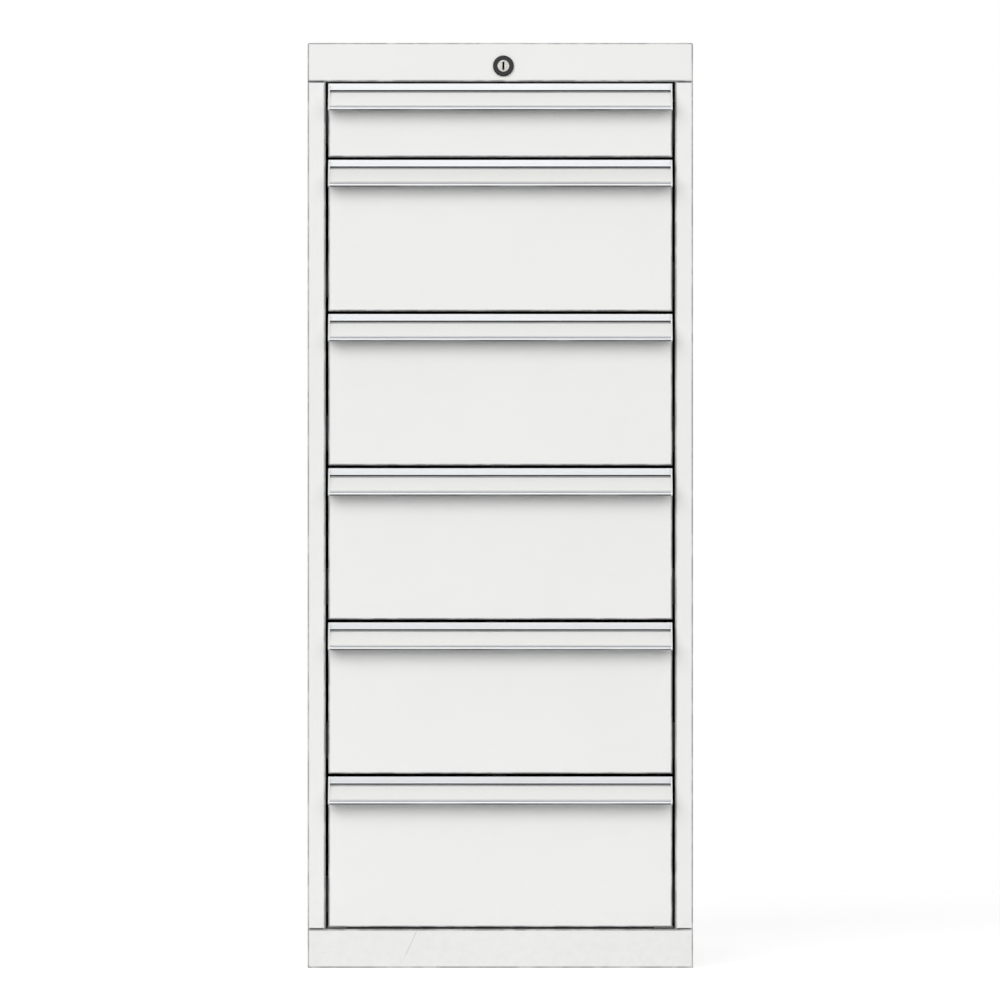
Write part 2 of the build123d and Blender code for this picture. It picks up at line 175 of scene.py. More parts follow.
class RivetSizes(PropertyGroup):
    """Sizes of the blind rivets that hold the sheets together."""

    head: length_setting("Head", "Diameter of a rivet's head", 6.4)
    rise: length_setting("Rise", "Height of a rivet's head", 1.2)
    rim: length_setting("Rim", "Height of the head's straight rim", 0.25)
    mouth: length_setting("Mouth", "Diameter of the hollow in the middle of the head", 2.2)
    hollow: length_setting("Hollow", "Depth of the hollow in the middle of the head", 0.8)
    sheet: length_setting("Sheet", "Thickness of the tray's sheet", 1.0)
    rail_sheet: length_setting("Rail sheet", "Thickness of a drawer rail's sheet", 1.5)
    tray_half_width: length_setting("Tray half width", "From the middle to a tray's outer side", 212.0)
    end_set: length_setting("End set", "From a part's end to its first rivet", 40.0)
    corner_set: length_setting("Corner set", "From the front's side to its outer rivets", 30.0)
    edge_set: length_setting("Edge set", "From a sheet's edge to a row of rivets", 7.0)
    guide_side_set: length_setting("Guide side set", "From a bar guide's side to its rivets", 3.5)
    guide_end_set: length_setting("Guide end set", "From a bar guide's end to its rivets", 9.0)
    per_rail: count_setting("Per rail", "Rivets along each drawer rail", 4, 2)
    per_front: count_setting("Per front", "Rivets along a front's edge", 3, 2)
    per_guide: count_setting("Per guide", "Rivets in each bar guide", 2, 2)
    guides: count_setting("Guides", "Bar guides that are riveted", 3, 2)
    segments: count_setting("Segments", "Facets round a rivet", 16, 6)
    dome_steps: count_setting("Dome steps", "Rings of facets over a rivet's dome", 6, 2)


class CoatWearAndEdgeShade(PropertyGroup):
    """Rubbed edges, which are partly painted edge shade, scratches and dust on the powder coat."""

    # The rubbed band along every edge is partly wear and partly painted edge shade.
    edge_core: length_setting("Edge core", "From an edge to where the rubbed paint starts to fade", 0.6)
    edge_reach: length_setting("Edge reach", "From an edge to where the paint is whole", 2.8)
    scratch_cell: length_setting("Scratch cell", "Size of the cells that may hold a scratch each", 110.0)
    scratch_reach: length_setting("Scratch reach", "From a scratch's middle to its end", 30.0)
    scratch_width: length_setting("Scratch width", "Width of a scratch", 1.2)
    dust_height: length_setting("Dust height", "Height above the floor up to which dust settles", 110.0)
    on_walls: share_setting("On walls", "Share of the cells with a scratch on the walls and the back", 0.35)
    on_top: share_setting("On top", "Share of the cells with a scratch on the top cover", 0.5)
    on_plinth: share_setting("On plinth", "Share of the cells with a scratch on the plinth", 0.6)
    on_fronts: share_setting("On fronts", "Share of the cells with a scratch on the drawer fronts", 0.12)
    on_trays: share_setting("On trays", "Share of the cells with a scratch on the trays", 0.8)


class HandleShadeAndPolish(PropertyGroup):
    """Where shade is painted on a handle strip, in the groove under the brow and along the lower lip, and
    where hands polish it.
    """

    groove_drop: length_setting("Groove drop", "From the upper edge to the groove under the brow", 9.25)
    groove_height: length_setting("Groove height", "Height of that groove", 1.5)
    groove_set: length_setting("Groove set", "From the strip's nose back to the groove's mouth", 17.0)
    # The lip's dark line is painted shade.
    lip_shade: length_setting("Lip grime", "Height of the grime along the strip's lower lip", 2.0)
    polish_core: length_setting("Polish core", "From the middle to the end of the polished stretch", 20.0)
    polish_reach: length_setting("Polish reach", "From the middle to where the polish has faded out", 130.0)


class MetalWearAndShade(PropertyGroup):
    """Turned rings and scratches on the lock, painted shade inside the key slot, and the slides' sheared
    ends, darkened partly with painted shade.
    """

    plug_ring: length_setting("Plug ring", "From one turned ring of the plug's face to the next", 0.35)
    bezel_ring: length_setting("Bezel ring", "From one turned ring of the bezel to the next", 0.5)
    scuff_core: length_setting("Scuff core", "From the plug's axis to where the key's marks thin out", 2.0)
    scuff_reach: length_setting("Scuff reach", "From the plug's axis to where they end", 6.8)
    # The slot's grease below is painted shade: the slot darkens from its mouth to its depth.
    slot_mouth: length_setting("Slot mouth", "From the plug's face to where the slot's grease starts", 0.1)
    slot_depth: length_setting("Slot depth", "From the plug's face to where the grease is thick", 0.8)
    rim_rub: length_setting("Rim rub", "From the bezel's rim in to where it starts to be rubbed", 1.3)
    rim_bare: length_setting("Rim bare", "From the bezel's rim in to where it is rubbed most", 0.4)
    # The darkened sheared end is partly the cut and partly painted shade.
    cut_reach: length_setting("Cut reach", "From a sheared end to where the zinc is whole", 2.0)


class RearFlange(PropertyGroup):
    """The side walls' rear flanges, the spot welds in them and the seam beside them."""

    width: length_setting("Width", "From the cabinet's side to the flange's free edge", 20.0)
    sheet: length_setting("Sheet", "Thickness of the flange", 1.5)
    weld: length_setting("Weld", "Diameter of a spot weld's dent", 7.0)
    pitch: length_setting("Pitch", "From one weld to the next", 110.0)
    # The seam is a darker band on the back panel along the flange's free edge.
    seam: length_setting("Seam", "Width of the dirt along the flange's free edge", 2.2)


class StudioSettings(PropertyGroup):
    """Camera, lamps and floor."""

    lens: FloatProperty(name="Lens", description="Focal length of the camera", default=300.0, unit="CAMERA")
    view_distance: length_setting("View distance", "From the camera to the drawers' faces", 10810.0)
    view_height: length_setting("View height", "Height of the camera", 606.9)
    view_side: FloatProperty(name="View side", description="Sideways place of the camera",
                             default=-0.4 * MILLIMETRE, unit="LENGTH")
    key_place: place_setting("Key place", "Place of the lamp at the left of the camera", (-2.6, -5.2, 3.6))
    key_power: power_setting("Key", "Lamp at the left of the camera", 230.0)
    fill_place: place_setting("Fill place", "Place of the lamp at the right of the camera", (3.0, -5.4, 2.8))
    fill_power: power_setting("Fill", "Lamp at the right of the camera", 130.0)
    top_place: place_setting("Top place", "Place of the lamp above the cabinet", (0.3, 0.4, 4.2))
    top_power: power_setting("Top", "Lamp above the cabinet", 22.0)
    back_place: place_setting("Back place", "Place of the lamp behind the cabinet", (-1.2, 5.2, 2.8))
    back_power: power_setting("Back", "Lamp behind the cabinet", 95.0)
    left_place: place_setting("Left place", "Place of the lamp at the cabinet's left side", (-5.8, 0.6, 2.2))
    left_power: power_setting("Left", "Lamp at the cabinet's left side", 45.0)
    right_place: place_setting("Right place", "Place of the lamp at the cabinet's right side",
                               (5.8, 0.6, 2.2))
    right_power: power_setting("Right", "Lamp at the cabinet's right side", 60.0)
    lamp_width: length_setting("Lamp width", "Side of each square lamp", 5000.0)
    sky: share_setting("Sky", "Light that comes from all round", 0.18)
    floor_glow: share_setting("Floor glow", "Lift of the floor towards white", 0.56)
    floor_inner: length_setting("Floor core", "Radius in which the floor is solid", 900.0)
    floor_outer: length_setting("Floor rim", "Radius at which the floor has faded out", 2600.0)
    floor_drop: length_setting("Floor drop", "From the plinth's underside down to the floor", 0.2)
    floor_sides: count_setting("Floor sides", "Straight sides of the floor's round edge", 96, 12)


# Shader maths


class Shade:
    """A socket of a node tree. Sums and products of such sockets add Math nodes to the tree."""

    def __init__(self, tree, socket=None):
        self.tree = tree
        self.socket = socket

    def node(self, kind, settings=None, inputs=None, output=0):
        """Adds a node of any kind: its settings first, then the values or links of its sockets."""
        made = self.tree.nodes.new("ShaderNode" + kind)
        for name, value in (settings or {}).items():
            setattr(made, name, value)
        for name, value in (inputs or {}).items():
            if isinstance(value, Shade):
                self.tree.links.new(value.socket, made.inputs[name])
            else:
                made.inputs[name].default_value = value
        return Shade(self.tree, made.outputs[output]) if made.outputs else None

    def math(self, operation, first, second=0.0):
        """A Math node on two values."""
        return self.node("Math", {"operation": operation}, {0: first, 1: second})

    def vector(self, operation, first, second=(0.0, 0.0, 0.0), output="Vector"):
        """A Vector Math node on two vectors."""
        return self.node("VectorMath", {"operation": operation}, {0: first, 1: second}, output)

    def __add__(self, other):
        return self.math("ADD", self, other)

    def __sub__(self, other):
        return self.math("SUBTRACT", self, other)

    def __rsub__(self, other):
        return self.math("SUBTRACT", other, self)

    def __mul__(self, other):
        return self.math("MULTIPLY", self, other)

    __radd__ = __add__
    __rmul__ = __mul__


def least(first, second):
    """The smaller of two values."""
    return first.math("MINIMUM", first, second)


def most(first, second):
    """The larger of two values."""
    return first.math("MAXIMUM", first, second)


def between(value, low, high):
    """0 below low, 1 above high and a smooth rise from one to the other."""
    return value.node("MapRange", {"interpolation_type": "SMOOTHSTEP"}, {0: value, 1: low, 2: high})


def blend(mask, first, second):
    """The first colour where the mask is 0 and the second where it is 1."""
    return mask.node("Mix", {"data_type": "RGBA"}, {0: mask, 6: first, 7: second}, output=2)


def tint(colour, factor=1.0):
    """A colour with its alpha, made darker or lighter where a factor is given."""
    return (*(min(channel * factor, 1.0) for channel in colour), 1.0)


def along(place, axis):
    """One coordinate of a place: 0 is x, 1 is y and 2 is z."""
    return place.node("SeparateXYZ", None, {0: place}, output=axis)


def noise(place, per_metre, detail=2.0):
    """Soft noise from 0 to 1, with about so many spots to the metre."""
    return place.node("TexNoise", None, {"Vector": place, "Scale": per_metre, "Detail": detail})


def streaks(place, per_metre, detail=2.0):
    """Noise drawn out into streaks: so many spots to the metre along x, along y and along z."""
    drawn = place.node("Mapping", None, {"Vector": place, "Scale": per_metre})
    return noise(drawn, per_metre=1.0, detail=detail)


def cells(place, per_metre):
    """A plain random value in each of about so many cells to the metre."""
    spots = place.node("TexVoronoi", None, {"Vector": place, "Scale": per_metre}, output="Color")
    return spots.node("SeparateColor", None, {0: spots}, output=0)


def size_of(value):
    """A value without its sign."""
    return value.math("ABSOLUTE", value)


def hypotenuse(first, second):
    """The distance that two steps square to each other make."""
    return first.math("SQRT", first * first + second * second)


def edge_distance(place, box):
    """Distance to a box's nearest edge: the middle one of the distances to its three pairs of faces."""
    gaps = []
    for axis, (low, high) in enumerate(zip(*box)):
        spot = along(place, axis)
        gaps.append(least(spot - low, high - spot))
    first, second, third = gaps
    return most(least(first, second), least(most(first, second), third))


def off_axis(place):
    """Distance from the lock's axis, which runs along y through the middle of the housing."""
    low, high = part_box("lock_housing")
    centre = (low + high) / 2
    return hypotenuse(along(place, 0) - centre.x, along(place, 2) - centre.z)


def turned_rings(radius, pitch):
    """Waves from 0 to 1 round an axis, like the marks of a turning tool."""
    return radius.math("SINE", radius * (2 * math.pi / pitch)) * 0.5 + 0.5


def from_side(place):
    """Distance from the cabinet's nearer side wall."""
    return CAD_BOX[1].x - size_of(along(place, 0))


def weld_dents(place):
    """Spot welds in a row up each rear flange: 1 in the middle of a dent and 0 away from it."""
    flange = bpy.context.scene.cabinet_rear_flange
    rear = CAD_BOX[1].y
    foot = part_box("left_side_panel")[0].z
    across = from_side(place) - flange.width / 2
    step = (along(place, 2) - foot) * (1 / flange.pitch)
    up = (step.math("FRACT", step) - 0.5) * flange.pitch
    reach = hypotenuse(across, up)
    on_flange = between(along(place, 1), rear - flange.sheet, rear - flange.sheet / 2)
    return (1 - between(reach, 0.25 * flange.weld, 0.5 * flange.weld)) * on_flange


def seam_darkening(place):
    """A darker band on the back panel along the free edge of each rear flange."""
    flange = bpy.context.scene.cabinet_rear_flange
    beyond = from_side(place) - flange.width
    return 1 - between(beyond, 0.0, flange.seam)


def new_finish(name):
    """An empty material, the start of its shader maths and the place on the piece in metres."""
    material = bpy.data.materials.new(name)
    material.use_nodes = True
    material.node_tree.nodes.clear()
    root = Shade(material.node_tree)
    return material, root.node("TexCoord", output="Object")


def close_finish(place, sockets, height, relief, strength):
    """Joins the colour, the roughness and the bump, whose relief is a depth in metres, to the surface."""
    bump = place.node("Bump", None, {"Strength": strength, "Distance": relief, "Height": height})
    surface = place.node("BsdfPrincipled", None, {**sockets, "Normal": bump})
    place.node("OutputMaterial", None, {"Surface": surface})


# Finishes


def scratch_marks(place, share):
    """Straight scratches in a share of the cells: a thin sheet through the cell's point, cut off by a ball.

    The sheet leans by the cell's own random colour, and where it meets the face it leaves a line. The
    green of that colour, taken many times over, draws which cells have a scratch.
    """
    wear = bpy.context.scene.cabinet_coat_wear
    cell = {"Vector": place, "Scale": 1 / wear.scratch_cell}
    point = place.node("TexVoronoi", None, cell, output="Position")
    dice = place.node("TexVoronoi", None, cell, output="Color")
    lean = place.vector("NORMALIZE", place.vector("SUBTRACT", dice, MID_GREY))
    off = place.vector("SUBTRACT", place, point)
    aside = place.vector("DOT_PRODUCT", off, lean, output="Value")
    reach = place.vector("LENGTH", off, output="Value")
    line = 1 - between(size_of(aside), 0.2 * wear.scratch_width, 0.5 * wear.scratch_width)
    within = 1 - between(reach, 0.5 * wear.scratch_reach, wear.scratch_reach)
    chance = dice.node("SeparateColor", None, {0: dice}, output=1) * SECOND_DRAW
    chosen = between(chance.math("FRACT", chance), 1 - share, 1 - share + DRAW_EDGE)
    return line * within * chosen


def powder_coat(node, colour, scratched, marks=None):
    """Satin powder coat: orange peel, a slow drift of shade, hairlines, rubbed edges, dust near the floor.
    The rubbed edges are partly wear and partly painted edge shade.

    Scratched is the share of the scratches' cells that have one. Marks, where given, is a function of the
    place that is 1 in a weld dent or along a flange seam: there the bump dips and the coat darkens, which in
    the dents is painted shade.
    """
    colours = bpy.context.scene.cabinet_colours
    wear = bpy.context.scene.cabinet_coat_wear
    material, place = new_finish(f"coat_{node}")
    drift = noise(place, per_metre=6.0, detail=3.0)
    peel = noise(place, per_metre=430.0)
    grit = noise(place, per_metre=2300.0, detail=1.0)
    hairline = between(streaks(place, per_metre=(9.0, 9.0, 520.0)), 0.66, 0.72)
    worn_patch = between(noise(place, per_metre=46.0, detail=4.0), 0.34, 0.60)
    to_edge = edge_distance(place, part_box(node))
    # Rubbed edges: partly wear and partly painted edge shade along every edge of the part.
    rubbed = (1 - between(to_edge, wear.edge_core, wear.edge_reach)) * (0.55 + 0.45 * worn_patch)
    scratch = scratch_marks(place, scratched)
    low = 1 - between(along(place, 2), 0.0, wear.dust_height)
    dust = low * (0.4 + 0.6 * between(noise(place, per_metre=90.0, detail=6.0), 0.36, 0.70))
    coat = blend(drift, tint(colour, 0.975), tint(colour, 1.015))
    coat = blend(hairline * 0.06, coat, tint(colour, 0.8))
    coat = blend(scratch * 0.28, coat, tint(colours.wear))
    coat = blend(rubbed * 0.8, coat, tint(colours.wear))
    coat = blend(dust * 0.12, coat, tint(colours.soil))
    rough = 0.50 + 0.10 * drift + 0.05 * peel + 0.10 * rubbed + 0.16 * dust + 0.06 * hairline
    height = peel + 0.35 * grit - 0.3 * hairline - 2.0 * scratch
    # Painted shade in the weld dents, and a darker band along the flange seam.
    if marks:
        low_spots = marks(place)
        coat = blend(low_spots * 0.35, coat, tint(colours.wear))
        height = height - 6.0 * low_spots
    sockets = {"Base Color": coat, "Roughness": rough, "Specular IOR Level": 0.25}
    close_finish(place, sockets, height, COARSE_RELIEF, strength=0.16)
    return material


def anodised(node):
    """Anodised aluminium: drawn lines, a polish where hands pull, painted shade under the brow and along the
    lower lip.
    """
    colours = bpy.context.scene.cabinet_colours
    wear = bpy.context.scene.cabinet_handle_wear
    colour = colours.handles
    low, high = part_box(node)
    material, place = new_finish(f"anodised_{node}")
    lines = streaks(place, per_metre=(3.0, 620.0, 620.0), detail=4.0)
    fine = streaks(place, per_metre=(22.0, 2600.0, 2600.0))
    patches = noise(place, per_metre=11.0, detail=3.0)
    off_middle = size_of(along(place, 0))
    handled = (1 - between(off_middle, wear.polish_core, wear.polish_reach)) * between(patches, 0.40, 0.62)
    # Painted shade: a near-black line in the groove under the brow and along the lower lip, where the strip's
    # shadow lines fall.
    off_groove = size_of(along(place, 2) - (high.z - wear.groove_drop))
    at_groove = 1 - between(off_groove, 0.4 * wear.groove_height, 0.7 * wear.groove_height)
    mouth = low.y + wear.groove_set
    in_groove = at_groove * between(along(place, 1), mouth, mouth + wear.groove_height)
    at_lip = 1 - between(along(place, 2), low.z + 0.5 * wear.lip_shade, low.z + wear.lip_shade)
    painted_shade_mask = most(in_groove, at_lip * (0.6 + 0.4 * between(patches, 0.35, 0.60)))
    metal = blend(0.6 * lines + 0.4 * fine, tint(colour, 0.90), tint(colour, 1.06))
    metal = blend(patches * 0.12, metal, tint(colour, 0.84))
    # The painted shade is laid over the metal, which stops being metallic there.
    metal = blend(painted_shade_mask * 0.9, metal, tint(colours.painted_shade))
    rough = 0.42 + 0.16 * lines + 0.06 * fine - 0.09 * handled
    sockets = {"Base Color": metal, "Roughness": rough, "Metallic": 1 - painted_shade_mask}
    close_finish(place, sockets, lines + 0.5 * fine, FINE_RELIEF, strength=0.14)
    return material


def label_card(name):
    """Blank card behind a clear cover: short fibres, a faint mottle and a glossy coat."""
    colours = bpy.context.scene.cabinet_colours
    material, place = new_finish(name)
    fibre = streaks(place, per_metre=(420.0, 1500.0, 1500.0), detail=3.0)
    mottle = noise(place, per_metre=60.0, detail=3.0)
    card = blend(fibre, tint(colours.labels, 0.955), tint(colours.labels, 1.02))
    card = blend(mottle * 0.10, card, tint(colours.aged_card))
    cover = 0.25 + 0.25 * noise(place, per_metre=19.0)
    sockets = {"Base Color": card, "Roughness": 0.52 + 0.12 * fibre, "Coat Weight": cover,
               "Coat Roughness": 0.2}
    close_finish(place, sockets, fibre, FAINT_RELIEF, strength=0.10)
    return material


def moulded(name, colour, grain, roughness):
    """Injection-moulded plastic: a spark-eroded grain and soft flow marks."""
    material, place = new_finish(name)
    pits = noise(place, per_metre=grain, detail=3.0)
    flow = noise(place, per_metre=38.0, detail=3.0)
    skin = blend(flow, tint(colour, 0.95), tint(colour, 1.03))
    skin = blend(pits * 0.14, skin, tint(colour, 0.82))
    sockets = {"Base Color": skin, "Roughness": roughness + 0.16 * pits + 0.06 * flow}
    close_finish(place, sockets, pits, FINE_RELIEF, strength=0.30)
    return material


def zinc_sheet(name, colour, spangle, grain, cut_end):
    """Zinc-plated sheet: crystal cells, lines along the grain, grease in patches, a dark sheared end that is
    partly the rough cut and partly painted shade.
    """
    colours = bpy.context.scene.cabinet_colours
    wear = bpy.context.scene.cabinet_metal_wear
    material, place = new_finish(name)
    crystal = cells(place, spangle)
    rolled = streaks(place, per_metre=grain, detail=3.0)
    cloud = noise(place, per_metre=17.0, detail=4.0)
    grease = between(cloud, 0.50, 0.64)
    metal = blend(0.45 * crystal + 0.55 * rolled, tint(colour, 0.86), tint(colour, 1.08))
    metal = blend(cloud * 0.22, metal, tint(colours.dull_zinc))
    # The sheared front end goes near-black: partly the rough cut and partly painted shade for the gap in
    # front of it.
    sheared = 1 - between(along(place, 1), cut_end, cut_end + wear.cut_reach)
    metal = blend(sheared * 0.9, metal, tint(colours.cut_edge_and_shade))
    rough = 0.28 + 0.14 * crystal + 0.12 * rolled + 0.06 * cloud + 0.3 * sheared
    sockets = {"Base Color": metal, "Roughness": rough, "Metallic": 1 - 0.8 * sheared,
               "Coat Weight": 0.35 * grease, "Coat Roughness": 0.18}
    close_finish(place, sockets, rolled + 0.25 * crystal, FINE_RELIEF, strength=0.10)
    return material


def bright_steel(name, colour, grain):
    """Drawn steel: lines along the grain and dark oil stains."""
    material, place = new_finish(name)
    drawn = streaks(place, per_metre=grain, detail=4.0)
    stain = between(noise(place, per_metre=48.0, detail=5.0), 0.52, 0.70)
    metal = blend(drawn, tint(colour, 0.84), tint(colour, 1.16))
    metal = blend(stain * 0.30, metal, tint(bpy.context.scene.cabinet_colours.oil))
    rough = 0.24 + 0.18 * drawn + 0.18 * stain
    sockets = {"Base Color": metal, "Roughness": rough, "Metallic": 1.0}
    close_finish(place, sockets, drawn, FINE_RELIEF, strength=0.12)
    return material


def turned_plug(name):
    """Nickel-plated plug: turned rings about its axis, scratches round the key slot, painted shade inside it.
    """
    colours = bpy.context.scene.cabinet_colours
    wear = bpy.context.scene.cabinet_metal_wear
    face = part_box("lock_plug")[0].y
    material, place = new_finish(name)
    radius = off_axis(place)
    rings = turned_rings(radius, wear.plug_ring)
    scratch = streaks(place, per_metre=(2200.0, 300.0, 500.0), detail=4.0)
    near_slot = 1 - between(radius, wear.scuff_core, wear.scuff_reach)
    scuffed = near_slot * between(scratch, 0.45, 0.62)
    plating = blend(0.5 * rings + 0.5 * scratch, tint(colours.plug, 0.80), tint(colours.plug, 1.16))
    plating = blend(scuffed * 0.4, plating, tint(colours.key_scuff))
    # Painted shade: the inside of the key slot darkens to near-black and stops being metallic.
    inside = between(along(place, 1), face + wear.slot_mouth, face + wear.slot_depth)
    plating = blend(inside, plating, tint(colours.painted_shade))
    rough = 0.20 + 0.06 * rings + 0.20 * scuffed + 0.4 * inside
    sockets = {"Base Color": plating, "Roughness": rough, "Metallic": 1 - 0.9 * inside}
    close_finish(place, sockets, rings + 0.6 * scratch, FAINT_RELIEF, strength=0.10)
    return material


def turned_bezel(name):
    """Black-plated ring: turned rings, with bare metal showing where the chamfered rim is rubbed."""
    colours = bpy.context.scene.cabinet_colours
    wear = bpy.context.scene.cabinet_metal_wear
    low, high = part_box("lock_housing")
    rim = (high.x - low.x) / 2
    material, place = new_finish(name)
    radius = off_axis(place)
    rings = turned_rings(radius, wear.bezel_ring)
    speck = noise(place, per_metre=900.0, detail=3.0)
    chamfer = between(radius, rim - wear.rim_rub, rim - wear.rim_bare)
    rubbed = chamfer * between(noise(place, per_metre=260.0, detail=3.0), 0.50, 0.66)
    plating = blend(speck, tint(colours.bezel, 0.75), tint(colours.bezel, 1.5))
    plating = blend(rubbed * 0.55, plating, tint(colours.plug, 0.6))
    rough = 0.30 + 0.10 * rings + 0.10 * speck
    sockets = {"Base Color": plating, "Roughness": rough, "Metallic": 0.1 + 0.7 * rubbed,
               "Specular IOR Level": 0.3}
    close_finish(place, sockets, rings + 0.4 * speck, FAINT_RELIEF, strength=0.12)
    return material


def dress(material, *nodes):
    """Gives CAD nodes their finish."""
    for node in nodes:
        slots = frame["nodes"][node].data.materials
        slots.clear()
        slots.append(material)


# Rivets


def rivet_outline(sizes):
    """Radius and height along a rivet's section: flat foot, straight rim, elliptical dome, round hollow."""
    head = sizes.head / 2
    mouth = sizes.mouth / 2
    turn = np.linspace(0.0, math.acos(mouth / head), sizes.dome_steps)
    dome_radius = head * np.cos(turn)
    dome_height = sizes.rim + (sizes.rise - sizes.rim) * np.sin(turn)
    bottom = dome_height[-1] - sizes.hollow
    radius = np.concatenate([[0.0, head], dome_radius, [mouth, 0.0]])
    height = np.concatenate([[0.0, 0.0], dome_height, [bottom, bottom]])
    return radius, height


def turned_heads(sizes, feet, axes):
    """Solids of revolution, one on each foot: foot + radius (cos a u + sin a v) + height axis.

    The angle a goes round the foot's own axis, with u and v square to it, and the outline's parameter goes
    from the foot to the hollow. The outline's two ends lie on the axis and are one vertex each, and the
    last angle joins the first. One axis may serve all the feet.
    """
    radius, height = rivet_outline(sizes)
    radius, height = radius[:, None, None], height[:, None, None]
    angle = np.linspace(0.0, 2 * math.pi, sizes.segments, endpoint=False)[:, None]
    out = np.broadcast_to(axes, feet.shape)
    across = np.where(np.abs(out[:, :1]) < 0.5, RIGHT, BACK)
    beside = np.cross(out, across)
    spokes = np.cos(angle) * across[:, None] + np.sin(angle) * beside[:, None]
    rings = radius[1:-1] * spokes[:, None] + height[1:-1] * out[:, None, None]
    ends = height[[0, -1], 0] * out[:, None]
    heads = np.concatenate([rings.reshape(len(feet), -1, 3), ends], axis=1)
    points = (feet[:, None] + heads).reshape(-1, 3)

    count, per_head = sizes.segments, heads.shape[1]
    here = np.arange(count)
    after = (here + 1) % count
    first = np.arange(0, per_head - 2, count)[:, None]
    low, high = first[:-1], first[1:]
    walls = np.stack([low + here, low + after, high + after, high + here], axis=-1)
    foot, hollow, last = per_head - 2, per_head - 1, first[-1]
    under = np.stack([np.full(count, foot), after, here], axis=-1)
    inside = np.stack([np.full(count, hollow), last + here, last + after], axis=-1)
    shift = (np.arange(len(feet)) * per_head)[:, None, None]
    quads = (walls.reshape(-1, 4) + shift).reshape(-1, 4)
    fans = (np.concatenate([under, inside]) + shift).reshape(-1, 3)
    return points, quads.tolist() + fans.tolist()


def rivet_steel():
    """The plating that all the rivets share."""
    plating = bpy.data.materials.get("rivet_steel")
    colour = bpy.context.scene.cabinet_colours.rivets
    return plating or bright_steel("rivet_steel", colour, RIVET_GRAIN)


def new_object(name, surface, material):
    """A mesh object at the origin, from a surface's points and faces."""
    points, faces = surface
    mesh = bpy.data.meshes.new(name)
    mesh.from_pydata(points.tolist(), [], faces)
    mesh.materials.append(material)
    made = bpy.data.objects.new(name, mesh)
    bpy.context.scene.collection.objects.link(made)
    return made


def new_piece(name, surface, body, material):
    """A smooth piece of the cabinet that rides on a body."""
    piece = new_object(name, surface, material)
    piece.data.shade_smooth()
    piece.data.set_sharp_from_angle(angle=SHARP_ANGLE)
    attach(piece, body)


def spread(low, high, count, inset):
    """Evenly spaced places between two ends, the outer ones an inset away from them."""
    return np.linspace(low + inset, high - inset, count)


def grid(*axes):
    """Every combination of the places along x, y and z, as rows."""
    return np.stack(np.meshgrid(*axes, indexing="ij"), axis=-1).reshape(-1, 3)


# Operators


class CABINET_OT_carcass(Operator):
    """Powder-coats the walls, the back, the top and the plinth"""

    bl_idname = "cabinet.carcass"
    bl_label = "Coat the carcass"

    def execute(self, context):
        colours = context.scene.cabinet_colours
        wear = context.scene.cabinet_coat_wear
        for node, paint, scratched, marks in (
            ("left_side_panel", colours.carcass, wear.on_walls, weld_dents),
            ("right_side_panel", colours.carcass, wear.on_walls, weld_dents),
            ("back_panel", colours.carcass, wear.on_walls, seam_darkening),
            ("top_cover", colours.carcass, wear.on_top, None),
            ("base_frame", colours.base, wear.on_plinth, None),
        ):
            dress(powder_coat(node, paint, scratched, marks), node)
        return {"FINISHED"}


class CABINET_OT_inner_steel(Operator):
    """Galvanises the floor panel, the rear uprights and the rod's bracket"""

    bl_idname = "cabinet.inner_steel"
    bl_label = "Galvanise the inner steel"

    def execute(self, context):
        colour = context.scene.cabinet_colours.inner
        for node, grain in (
            ("rear_uprights", UPRIGHT_SHEET),
            ("floor_panel", LEVEL_SHEET),
            ("lock_rod_bracket", UPRIGHT_SHEET),
        ):
            front_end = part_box(node)[0].y
            sheet = zinc_sheet(f"galvanised_{node}", colour, spangle=85.0, grain=grain, cut_end=front_end)
            dress(sheet, node)
        return {"FINISHED"}


class CABINET_OT_fronts(Operator):
    """Powder-coats the drawer fronts"""

    bl_idname = "cabinet.fronts"
    bl_label = "Coat the drawer fronts"

    def execute(self, context):
        paint = context.scene.cabinet_colours.fronts
        scratched = context.scene.cabinet_coat_wear.on_fronts
        for drawer in DRAWERS:
            node = f"{drawer}_front"
            dress(powder_coat(node, paint, scratched), node)
        return {"FINISHED"}


class CABINET_OT_trays(Operator):
    """Powder-coats the drawer trays"""

    bl_idname = "cabinet.trays"
    bl_label = "Coat the trays"

    def execute(self, context):
        paint = context.scene.cabinet_colours.trays
        scratched = context.scene.cabinet_coat_wear.on_trays
        for drawer in DRAWERS:
            node = f"{drawer}_tray"
            dress(powder_coat(node, paint, scratched), node)
        return {"FINISHED"}


class CABINET_OT_handles(Operator):
    """Finishes the handle strips, their labels and their end caps"""

    bl_idname = "cabinet.handles"
    bl_label = "Finish the handles"

    def execute(self, context):
        card = label_card("blank_label")
        cap = moulded("handle_cap", context.scene.cabinet_colours.caps, grain=1300.0, roughness=0.42)
        for drawer in DRAWERS:
            node = f"{drawer}_handle"
            dress(anodised(node), node)
            dress(card, f"{drawer}_label")
            dress(cap, f"{drawer}_handle_caps")
        return {"FINISHED"}


class CABINET_OT_slides(Operator):
    """Zinc-plates the telescopic slides"""

    bl_idname = "cabinet.slides"
    bl_label = "Plate the slides"

    def execute(self, context):
        colour = context.scene.cabinet_colours.slides
        front_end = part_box("cabinet_rails_left")[0].y
        plating = zinc_sheet("zinc_slide", colour, spangle=260.0, grain=SLIDE_GRAIN, cut_end=front_end)
        dress(plating, "cabinet_rails_left", "cabinet_rails_right")
        for drawer in DRAWERS:
            dress(plating, f"{drawer}_rails", f"{drawer}_middle_rails")
        return {"FINISHED"}


